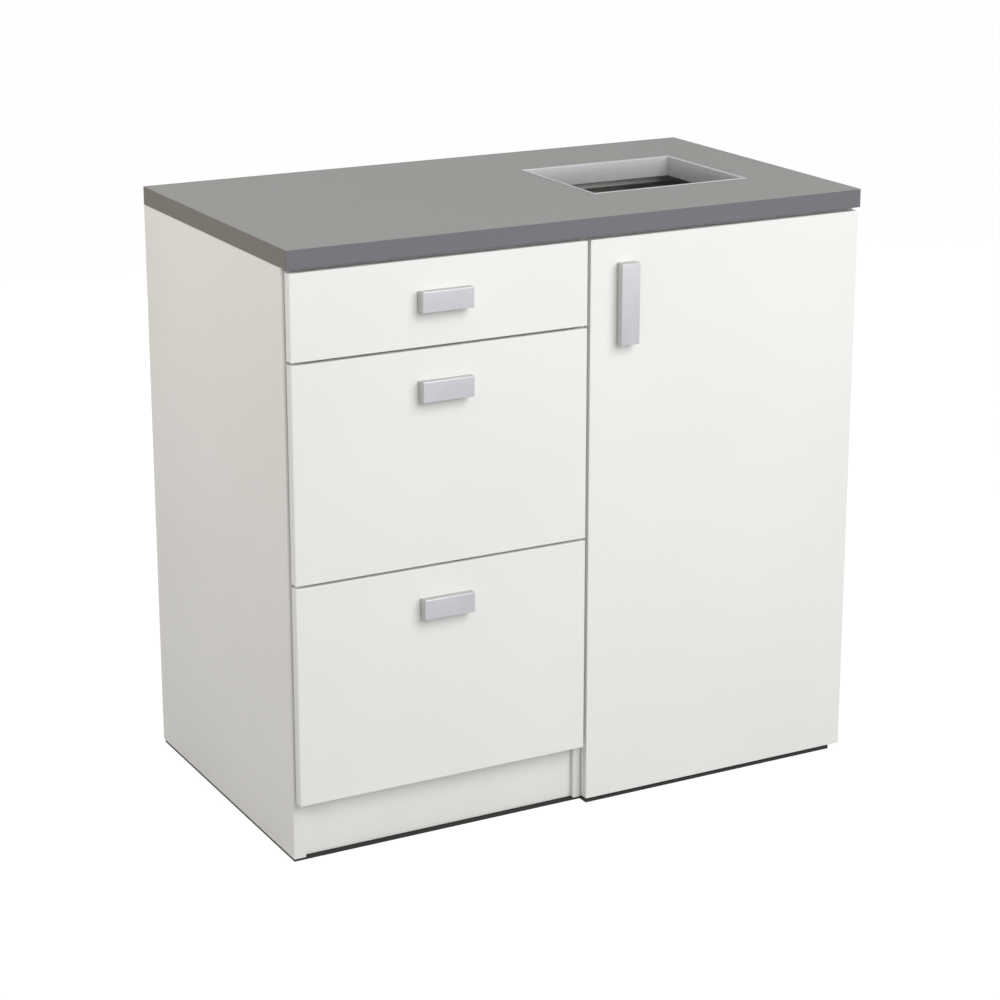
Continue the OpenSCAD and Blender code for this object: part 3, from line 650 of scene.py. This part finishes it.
class Finishes:
    """The cabinet's materials, one for each material slot of the record."""

    def __init__(self) -> None:
        """Lists each slot's finish and builds its material."""
        side, _, top = box_mm("worktop")[1].tolist()
        pull_face = box_mm("door_handle")[0][1].item()
        listed: dict[str, Finish] = {
            # Pressed under heat against a pearled plate: reads as calm off-white with a soft, broad sheen.
            "carcass_board": Melamine("satin white melamine, carcass", "#efeeeb", 0.42),
            # The same board in a cleaner white, so that the fronts stand out from the carcass.
            "front_board": Melamine("satin white melamine, fronts", "#f1f1ef", 0.40, cloud="#ebebe8"),
            # Rolled lacquer on thin fibreboard: flatter and a little uneven, with hardly a sheen.
            "back_board": Melamine("white lacquered fibreboard", "#ecebe6", 0.5, cloud="#e0dfd9"),
            # Drawer boxes in a greyer board, which sets them off behind their fronts.
            "drawer_board": Melamine("light grey melamine, drawer boxes", "#e3e2de", 0.45, cloud="#dad9d4"),
            # Pressed paper and resin: a dense, even grey that takes light without a clear reflection.
            "worktop_laminate": Laminate("matt grey laminate", "#868684", 0.56, top_mm=top, side_mm=side),
            # Coated folded sheet: pale bluish silver, more paint than metal, so its walls stay light.
            "collar_metal": DrawnMetal(
                "powder-coated silver sheet", "#c5c5c8", 0.4, lay=Lay.ALONG_X, dull="#b8b8ba", metallic=0.25),
            # Blasted and anodised: a cool silver face with blurred reflections, and returns painted greyer as
            # shade.
            "handle_metal": PullMetal(
                "satin anodised aluminium", "#c2c3c8", 0.48, dull="#b3b4b9", metallic=0.75,
                face_y_mm=pull_face),
            # Bright nickel over pressed steel: slightly yellow beside the zinc of the screws.
            "hinge_steel": DrawnMetal(
                "nickel-plated pressed steel", "#d0ccc2", 0.34, dull="#bab6ab", metallic=0.6,
                line_depth_mm=0.001),
            # Zinc over rolled strip: bluish silver with lines that run the way the drawer moves.
            "runner_steel": DrawnMetal(
                "zinc-plated rolled steel", "#c3c6c9", 0.3, lay=Lay.ALONG_Y, dull="#a9adb1"),
            # Zinc over headed wire: small bright heads whose recesses fall dark.
            "screw_steel": DrawnMetal("zinc-plated screw steel", "#c0c2c4", 0.32, dull="#9da0a3"),
            # Extruded strip: a flat warm black that draws the thin line on the floor.
            "base_strip": Moulded("black extruded plastic", "#141210", 0.65, scuff="#1c1a18"),
            # Moulded polypropylene: deep grey with a broad, waxy sheen and the odd pale scuff.
            "bin_plastic": Moulded("anthracite moulded polypropylene", "#303234", 0.5, scuff="#3e4144"),
            # Soft clear plastic on white board: a milky dome with a small sharp glint.
            "buffer_rubber": Moulded(
                "clear soft plastic", "#d8d9d6", 0.3, scuff="#c8c9c6", grain_depth_mm=0.002),
            # Fluted beech pins, seen only where boards are apart.
            "dowel_wood": Wood("beech", "#c79b69", 0.6),
        }
        self.materials = {slot: finish.material() for slot, finish in listed.items()}
        self.slot_of = {part["node"]: part["material_slot"] for part in frame["record"]["subparts"]}

    def dress_nodes(self) -> None:
        """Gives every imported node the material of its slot."""
        for name, node in frame["nodes"].items():
            self.apply(node, self.slot_of[name])

    def apply(self, piece: bpy.types.Object, slot: str) -> None:
        """Puts a slot's material on a piece in place of what it has.

        Args:
            piece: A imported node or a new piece.
            slot: The material slot's name in the record.
        """
        if not piece.material_slots:
            piece.data.materials.append(None)
        for place in piece.material_slots:
            place.material = self.materials[slot]


@dataclass
class Dresser:
    """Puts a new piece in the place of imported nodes: its body, its finish and the nodes it stands for."""

    finishes: Finishes
    body_of: dict[str, str] = field(default_factory=dict)

    def __post_init__(self) -> None:
        """Looks up the body of each node."""
        for body, nodes in frame["record"]["behaviour"]["bodies"].items():
            self.body_of.update(dict.fromkeys(nodes, body))

    def place(self, piece: bpy.types.Object, node: str) -> None:
        """Lets a piece ride on a node's body and take its finish.

        Args:
            piece: The new piece.
            node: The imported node.
        """
        slot = self.finishes.slot_of[node]
        self.finishes.apply(piece, slot)
        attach(piece, self.body_of[node])
        log.info("%s: %d points, beside or in the place of %s", piece.name, len(piece.data.vertices), node)

    def stand_for(self, piece: bpy.types.Object, node: str) -> None:
        """Places a piece and lets it replace the node."""
        self.place(piece, node)
        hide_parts(node)


class Turn(Enum):
    """How a handle lies: along X with its closed side up, or along Z with its closed side to the left."""

    LEVEL = "level"
    UPRIGHT = "upright"


@dataclass
class Handle:
    """A pull of anodised aluminium: a shell with closed ends, open on one long side and softly rounded."""

    node: str
    turn: Turn
    wall: float = 2.4
    face_round: float = 1.3
    back_round: float = 0.3
    hollow_round: float = 1.0
    lip_round: float = 0.7
    lean: float = 2.4
    lean_from: float = 7.0
    arc_steps: int = 6
    corner_steps: int = 4
    smooth_angle: float = 30.0

    def rows(self, height: float) -> tuple[np.ndarray, ...]:
        """Rows of the stack, from the hollow's ceiling down to the lip and up the outside, in mm.

        Each row has a height above the open side, an inset from the ends and the face, and a distance from
        the front board. That distance grows evenly over the last stretch below the closed side, where the
        pull leans in next to the board. Roundings follow a quarter turn's sine and cosine.

        Args:
            height: Height of the pull from its open to its closed side.

        Returns:
            Heights, insets, distances from the board and corner radii at the face.
        """
        turn = np.linspace(0, np.pi / 2, self.arc_steps + 1)
        wall, lip, face, hollow = self.wall, self.lip_round, self.face_round, self.hollow_round
        ceiling = height - wall
        inner_z = np.concatenate([ceiling - hollow * (1 - np.sin(turn[::-1])), [ceiling - self.lean],
                                  lip * (1 - np.cos(turn[::-1]))])
        inner_inset = np.concatenate([wall + hollow * (1 - np.cos(turn[::-1])), [wall],
                                      wall - lip * (1 - np.sin(turn[::-1]))])
        outer_z = np.concatenate([lip * (1 - np.cos(turn)), [height - self.lean],
                                  height - face * (1 - np.sin(turn))])
        outer_inset = np.concatenate([lip * (1 - np.sin(turn)), [0.0], face * (1 - np.cos(turn))])
        inner_rise = np.clip((inner_z - ceiling + self.lean) / self.lean, 0, 1)
        outer_rise = np.clip((outer_z - height + self.lean) / self.lean, 0, 1)
        inner_back = wall + inner_rise * (self.lean_from - wall)
        outer_back = outer_rise * self.lean_from
        corner = np.concatenate([np.full(len(inner_z), hollow), np.full(len(outer_z), face)])
        return (np.concatenate([inner_z, outer_z]), np.concatenate([inner_inset, outer_inset]),
                np.concatenate([inner_back, outer_back]), corner)

    def build(self, dresser: Dresser) -> None:
        """Stacks rounded rectangles, drawn as length and projection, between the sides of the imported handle.

        Args:
            dresser: Puts the handle in its node's place.
        """
        low, high = box_mm(self.node)
        size = high - low
        level = self.turn is Turn.LEVEL
        length, height = (size[0], size[2]) if level else (size[2], size[0])
        up, inset, back, corner = self.rows(height)
        at_board = np.full_like(corner, self.back_round)
        rings = rounded_rings(np.stack([inset, back], axis=1),
                              np.stack([length - inset, size[1] - inset], axis=1),
                              np.stack([corner, corner, at_board, at_board], axis=1), self.corner_steps)
        along, out = rings[..., 0], high[1] - rings[..., 1]
        across = np.broadcast_to(up[:, None], along.shape)
        if level:
            grid = np.stack([low[0] + along, out, low[2] + across], axis=-1)
        else:
            grid = np.stack([high[0] - across, out, low[2] + along], axis=-1)
        shell = make_piece(f"{self.node}_shell", grid * MM, capped_faces(*along.shape), self.smooth_angle)
        dresser.stand_for(shell, self.node)


@dataclass
class Collar:
    """The throw-in's collar: folded sheet with a rolled rim and mitred corners."""

    node: str = "throw_in_collar"
    rim_t: float = 1.0
    rim_w: float = 4.0
    wall: float = 1.2
    fold_round: float = 1.1
    edge_round: float = 0.45
    foot_round: float = 0.3
    tuck_round: float = 0.05
    under_round: float = 0.1
    arc_steps: int = 4

    def build(self, dresser: Dresser) -> None:
        """Carries the sheet's folded section round a rectangle with mitred corners.

        The section is measured outwards from the inner faces and upwards from the collar's lower end. Each of
        its points goes round four corners, each moved outwards along both of its sides by the same distance.

        Args:
            dresser: Puts the collar in its node's place.
        """
        low, high = box_mm(self.node)
        centre, half = (low + high) / 2, (high - low) / 2 - self.rim_w
        drop = high[2] - low[2]
        corners = np.array([
            [0, 0], [self.wall, 0], [self.wall, drop - self.rim_t], [self.rim_w, drop - self.rim_t],
            [self.rim_w, drop], [0, drop],
        ], float)
        radii = np.array([self.foot_round, self.foot_round, self.tuck_round, self.under_round,
                          self.edge_round, self.fold_round])
        section = fillet_outline(corners, radii, self.arc_steps)
        signs = np.array([[-1, -1], [1, -1], [1, 1], [-1, 1]], float)
        reach = half[:2] + section[:, :1]
        plan = centre[:2] + signs[:, None] * reach[None]
        height = np.broadcast_to(low[2] + section[:, 1], plan.shape[:2])
        grid = np.concatenate([plan, height[..., None]], axis=-1)
        faces = grid_faces(4, len(section), close_rows=True).tolist()
        dresser.stand_for(make_piece("throw_in_collar_sheet", grid * MM, faces), self.node)


@dataclass
class Bin:
    """A moulded bin with drafted walls, a turned-down rim and a rounded foot."""

    node: str
    wall: float = 2.4
    rim: float = 8.0
    rim_h: float = 14.0
    draft: float = 14.0
    corner: float = 26.0
    foot_round: float = 7.0
    inner_foot_round: float = 6.0
    top_round: float = 1.8
    lip_t: float = 1.6
    lip_clear: float = 3.0
    least_corner: float = 3.0
    round_steps: int = 5
    arc_steps: int = 8

    def stations(self, height: float) -> np.ndarray:
        """Rows of inset from the rim's outer face, height and corner radius, from the foot outwards.

        The outer wall leans in from the rim to the foot by the draft. The rim is a half round over a lip, and
        the inner wall follows the outer one at the wall's thickness.

        Args:
            height: Height of the bin.

        Returns:
            The rows in mm, shape (rows, 3).
        """
        turn = np.linspace(0, np.pi / 2, self.round_steps + 1)
        lean = self.draft / height
        wall, lip, crown = self.wall, self.rim_h, self.top_round
        foot, inner_foot_r = self.foot_round, self.inner_foot_round

        def outer(z: np.ndarray | float) -> np.ndarray | float:
            """Inset of the outer wall at a height."""
            return self.rim + lean * (height - z)

        rise, run = 1 - np.cos(turn), 1 - np.sin(turn)
        foot_z = foot * rise
        outer_foot = np.stack([outer(foot_z) + foot * run, foot_z], axis=1)
        under_rim = np.array([
            [outer(height - lip - self.lip_clear), height - lip - self.lip_clear],
            [outer(height - wall), height - wall],
            [wall, height - wall - self.lip_t], [wall, height - lip], [0, height - lip],
        ])
        crown_z = height - crown * rise
        top = np.stack([crown * run, crown_z], axis=1)[::-1]
        fold = np.stack([outer(height) + wall - crown * run, crown_z], axis=1)
        inner_z = wall + inner_foot_r * rise
        inner_foot = np.stack([outer(inner_z) + wall + inner_foot_r * run, inner_z], axis=1)[::-1]
        path = np.concatenate([outer_foot, under_rim, top, fold, inner_foot])
        radius = np.maximum(self.corner - path[:, 0], self.least_corner)
        return np.column_stack([path, radius])

    def build(self, dresser: Dresser) -> None:
        """Sets a rounded rectangle at each station and closes the foot inside and out.

        Args:
            dresser: Puts the bin in its node's place.
        """
        low, high = box_mm(self.node)
        inset, z, radius = self.stations(high[2] - low[2]).T
        rings = rounded_rings(low[:2] + inset[:, None], high[:2] - inset[:, None],
                              np.repeat(radius[:, None], 4, axis=1), self.arc_steps)
        height = np.broadcast_to((low[2] + z)[:, None], rings.shape[:2])
        grid = np.concatenate([rings, height[..., None]], axis=-1)
        moulding = make_piece(f"{self.node}_moulding", grid * MM, capped_faces(*rings.shape[:2]))
        dresser.stand_for(moulding, self.node)


@dataclass
class Screws:
    """Pan-head screws with a cross recess, in the places of a node's plain ones."""

    node: str
    columns: int = 32
    smooth_angle: float = 30.0
    # Shares of the head's height: how far the crown falls, where its edge ends, and the recess's depth.
    crown: float = 0.45
    edge: float = 0.2
    recess: float = 0.6
    # Shares of the head's radius: its underside, the arms of the cross, their soft edges and their limit.
    underside: float = 0.97
    arm_l: float = 0.58
    arm_w: float = 0.2
    side_soft: float = 0.08
    end_soft: float = 0.1
    limit: float = 0.75

    def profile(self, screw: Round) -> np.ndarray:
        """Rows of radius and height from the crown's middle, over the head's edge, down to the point.

        The crown is an elliptic arc over the head, and the shank ends in a cone as long as it is thick.

        Args:
            screw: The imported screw.

        Returns:
            The profile in mm, shape (rows, 2).
        """
        share = np.array([0, 0.1, 0.18, 0.26, 0.34, 0.42, 0.5, 0.58, 0.66, 0.8, 0.92, 0.98, 1.0])
        dome = 1 - self.crown * (1 - np.sqrt(1 - share ** 2))
        head = np.stack([share * screw.head_r, dome * screw.head_h], axis=1)
        shank = np.array([
            [screw.head_r, self.edge * screw.head_h], [self.underside * screw.head_r, 0],
            [screw.shank_r, 0], [screw.shank_r, -screw.shank_l + 2 * screw.shank_r], [0, -screw.shank_l],
        ])
        return np.concatenate([head, shank])

    def build(self, dresser: Dresser) -> None:
        """Turns the heads and shanks, and cuts a cross into each crown.

        The cross is as deep as the product of two soft steps: one across its arms, where the lesser of the
        two cross distances stays under half an arm's width, and one along them, where the greater stays
        under their length.

        Args:
            dresser: Puts the screws in their node's place.
        """
        screws = self.measured()
        head_r = screws[0].head_r
        depth = self.recess * screws[0].head_h

        def cross(radius: np.ndarray, angle: np.ndarray) -> np.ndarray:
            """Depth of the recess.

            Args:
                radius: Distances from the axis in mm.
                angle: Angles round it, of the same shape.

            Returns:
                Depths in mm, of the same shape.
            """
            x, y = np.abs(radius * np.cos(angle)) / head_r, np.abs(radius * np.sin(angle)) / head_r
            across = np.clip((self.arm_w - np.minimum(x, y)) / self.side_soft + 0.5, 0, 1)
            along = np.clip((self.arm_l - np.maximum(x, y)) / self.end_soft + 0.5, 0, 1)
            return depth * across * along * (radius < self.limit * head_r)

        points, faces = revolve(np.stack([self.profile(screw) for screw in screws]),
                                np.stack([screw.seat for screw in screws]),
                                np.stack([screw.axis for screw in screws]), self.columns, cross)
        piece = make_piece(f"{self.node}_cross_recess", points * MM, faces, self.smooth_angle)
        self.put(piece, dresser)

    def measured(self) -> list[Round]:
        """Measures the node's own screws."""
        return [Round.measure(points) for points in solids_of(self.node)]

    def put(self, piece: bpy.types.Object, dresser: Dresser) -> None:
        """Puts the screws in their node's place."""
        dresser.stand_for(piece, self.node)


@dataclass
class AdjustingScrews(Screws):
    """The adjusting and clamping screws of the hinge arms, two let into the face of each."""

    node: str = "hinge_arms"
    head_r: float = 2.9
    head_h: float = 0.9
    shank_r: float = 1.6
    shank_l: float = 3.2
    proud: float = 0.5
    shares: tuple[float, float] = (0.36, 0.8)

    def measured(self) -> list[Round]:
        """Seats the screws along each arm, so that their crowns stand proud of its face.

        Returns:
            The screws, whose axes point to the middle of the cabinet.
        """
        toward = np.array([-1.0, 0.0, 0.0])
        return [Round(np.array([low[0] + self.head_h - self.proud, low[1] + share * (high[1] - low[1]),
                                (low[2] + high[2]) / 2]), toward, self.head_r, self.head_h, self.shank_r,
                      self.shank_l)
                for low, high in zip(*solid_boxes(self.node)) for share in self.shares]

    def put(self, piece: bpy.types.Object, dresser: Dresser) -> None:
        """The screws join the arms and stay with the carcass."""
        dresser.place(piece, "hinge_screws")


@dataclass
class Buffers:
    """Domed clear bumpers that the fronts close against."""

    node: str = "buffers"
    columns: int = 28
    rows: int = 9

    def build(self, dresser: Dresser) -> None:
        """Turns a dome whose height falls off as the square root of one less the radius squared.

        Args:
            dresser: Puts the bumpers in their node's place.
        """
        low, high = solid_boxes(self.node)
        share = np.sin(np.linspace(0, np.pi / 2, self.rows))
        radius = (high[:, 0] - low[:, 0])[:, None] / 2 * share[None]
        height = (high[:, 1] - low[:, 1])[:, None] * np.sqrt(1 - share ** 2)[None]
        dome = np.stack([radius, height], axis=-1)
        foot = np.zeros((len(low), 1, 2))
        seats = (low + high) / 2
        seats[:, 1] = high[:, 1]
        axes = np.tile([0.0, -1.0, 0.0], (len(low), 1))
        points, faces = revolve(np.concatenate([dome, foot], axis=1), seats, axes, self.columns)
        dresser.stand_for(make_piece("buffer_domes", points * MM, faces), self.node)


@dataclass(frozen=True)
class Softbox:
    """A square lamp: its middle, the point it faces and its side in metres, and its power in watts."""

    name: str
    place: tuple[float, float, float]
    aim: tuple[float, float, float]
    size: float
    watts: float
    tint: str = "#ffffff"
    # Whether shiny surfaces show it.
    mirrored: bool = True

    def hang(self) -> None:
        """Adds the lamp to the scene."""
        data = bpy.data.lights.new(self.name, "AREA")
        data.shape = "SQUARE"
        data.size = self.size
        data.energy = self.watts
        data.color = linear(self.tint)[:3]
        lamp = bpy.data.objects.new(self.name, data)
        lamp.visible_glossy = self.mirrored
        bpy.context.scene.collection.objects.link(lamp)
        place = Vector(self.place)
        turn = (place - Vector(self.aim)).to_track_quat("Z", "Y").to_matrix().to_4x4()
        lamp.matrix_world = Matrix.Translation(place) @ turn


@dataclass
class Studio:
    """A white floor, soft lamps and the camera at the photograph's angle."""

    camera_mm: tuple[float, float, float] = (-1850.2, -3425.3, 1629.3)
    yaw: float = 28.287
    pitch: float = 15.858
    lens: float = 94.68
    rise: float = -0.07
    floor_half: float = 30.0
    paper: str = "#b5b5b3"
    # The floor looks nearly white, yet keeps a fifth of what falls on it, and so its shadows.
    floor_glow: float = 1.19
    glow_share: float = 0.8
    # The world is white to look at, and lights the cabinet with less.
    world_light: float = 0.415
    lamps: tuple[Softbox, ...] = (
        Softbox("softbox in front", (0.6, -2.8, 2.35), (0.0, -0.2, 0.55), 2.4, 78),
        Softbox("softbox at the left", (-1.55, 0.0, 1.25), (-0.47, 0.0, 0.88), 0.9, 6.2, tint="#fff8ee"),
        Softbox("softbox behind", (0.6, 3.2, 1.4), (0.0, 0.2, 0.5), 2.2, 62, mirrored=False),
    )

    def place_camera(self) -> None:
        """Sets the camera by its yaw from +Y and its pitch below the horizon, in degrees."""
        data = bpy.data.cameras.new("camera")
        data.lens = self.lens
        data.shift_y = self.rise
        camera = bpy.data.objects.new("camera", data)
        bpy.context.scene.collection.objects.link(camera)
        turn = (Matrix.Rotation(math.radians(-self.yaw), 4, "Z")
                @ Matrix.Rotation(math.radians(90 - self.pitch), 4, "X"))
        camera.matrix_world = Matrix.Translation(Vector(self.camera_mm) * MM) @ turn
        bpy.context.scene.camera = camera

    def lay_floor(self) -> None:
        """Lays a white floor that keeps the cabinet's shadow."""
        h = self.floor_half
        corners = np.array([[-h, -h, 0], [h, -h, 0], [h, h, 0], [-h, h, 0]])
        floor = make_piece("floor", corners, [[0, 1, 2, 3]])
        made = bpy.data.materials.new("white paper floor")
        made.use_nodes = True
        tree = made.node_tree
        tree.nodes.clear()
        paper = add(tree, "ShaderNodeBsdfDiffuse", {"Color": linear(self.paper)})
        white = add(tree, "ShaderNodeEmission", {"Color": linear("#ffffff"), "Strength": self.floor_glow})
        share = self.seen(tree, self.glow_share)
        mix = add(tree, "ShaderNodeMixShader", {0: share, 1: paper.outputs[0], 2: white.outputs[0]})
        add(tree, "ShaderNodeOutputMaterial", {"Surface": mix.outputs[0]})
        floor.data.materials.append(made)

    def seen(self, tree: bpy.types.NodeTree, most: float) -> bpy.types.NodeSocket:
        """Tells what looks on from what lights.

        Args:
            tree: The node tree.
            most: The value for what looks on.

        Returns:
            A socket that gives most for a camera, glossy or transmission ray, and 0 for any other.
        """
        rays = add(tree, "ShaderNodeLightPath").outputs
        either = add(tree, "ShaderNodeMath", {0: rays["Is Camera Ray"], 1: rays["Is Glossy Ray"]},
                     operation="MAXIMUM").outputs[0]
        any_ray = add(tree, "ShaderNodeMath", {0: either, 1: rays["Is Transmission Ray"]},
                      operation="MAXIMUM").outputs[0]
        return add(tree, "ShaderNodeMath", {0: any_ray, 1: most}, operation="MULTIPLY").outputs[0]

    def fill_world(self) -> None:
        """Makes the world white to look at and a soft grey light on the cabinet."""
        world = bpy.data.worlds.new("studio")
        world.use_nodes = True
        tree = world.node_tree
        tree.nodes.clear()
        colour = linear("#ffffff")
        light = add(tree, "ShaderNodeBackground", {"Color": colour, "Strength": self.world_light})
        white = add(tree, "ShaderNodeBackground", {"Color": colour, "Strength": 1.0})
        mix = add(tree, "ShaderNodeMixShader", {0: self.seen(tree, 1.0), 1: light.outputs[0],
                                                2: white.outputs[0]})
        add(tree, "ShaderNodeOutputWorld", {"Surface": mix.outputs[0]})
        bpy.context.scene.world = world

    def build(self) -> None:
        """Sets the floor, the world, the lamps, the camera and the view transform."""
        self.lay_floor()
        self.fill_world()
        for lamp in self.lamps:
            lamp.hang()
        self.place_camera()
        bpy.context.scene.view_settings.view_transform = "Standard"


DRAWERS = ("top", "middle", "bottom")
BINS = ("waste_bin", "middle_bin_front", "middle_bin_rear", "bottom_bin_front", "bottom_bin_rear")
SCREWS = ("carcass_screws", "hinge_screws", "door_screws",
          "top_drawer_screws", "middle_drawer_screws", "bottom_drawer_screws")


def main() -> None:
    """Dresses the cabinet piece by piece and reports each one."""
    logging.basicConfig(level=logging.INFO, format="%(name)s: %(message)s")
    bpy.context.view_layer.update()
    Studio().build()
    finishes = Finishes()
    finishes.dress_nodes()
    dresser = Dresser(finishes)
    for drawer in DRAWERS:
        Handle(f"{drawer}_drawer_handle", Turn.LEVEL).build(dresser)
    Handle("door_handle", Turn.UPRIGHT).build(dresser)
    Collar().build(dresser)
    for node in BINS:
        Bin(node).build(dresser)
    for node in SCREWS:
        Screws(node).build(dresser)
    AdjustingScrews().build(dresser)
    Buffers().build(dresser)


if __name__ == "__main__":
    main()
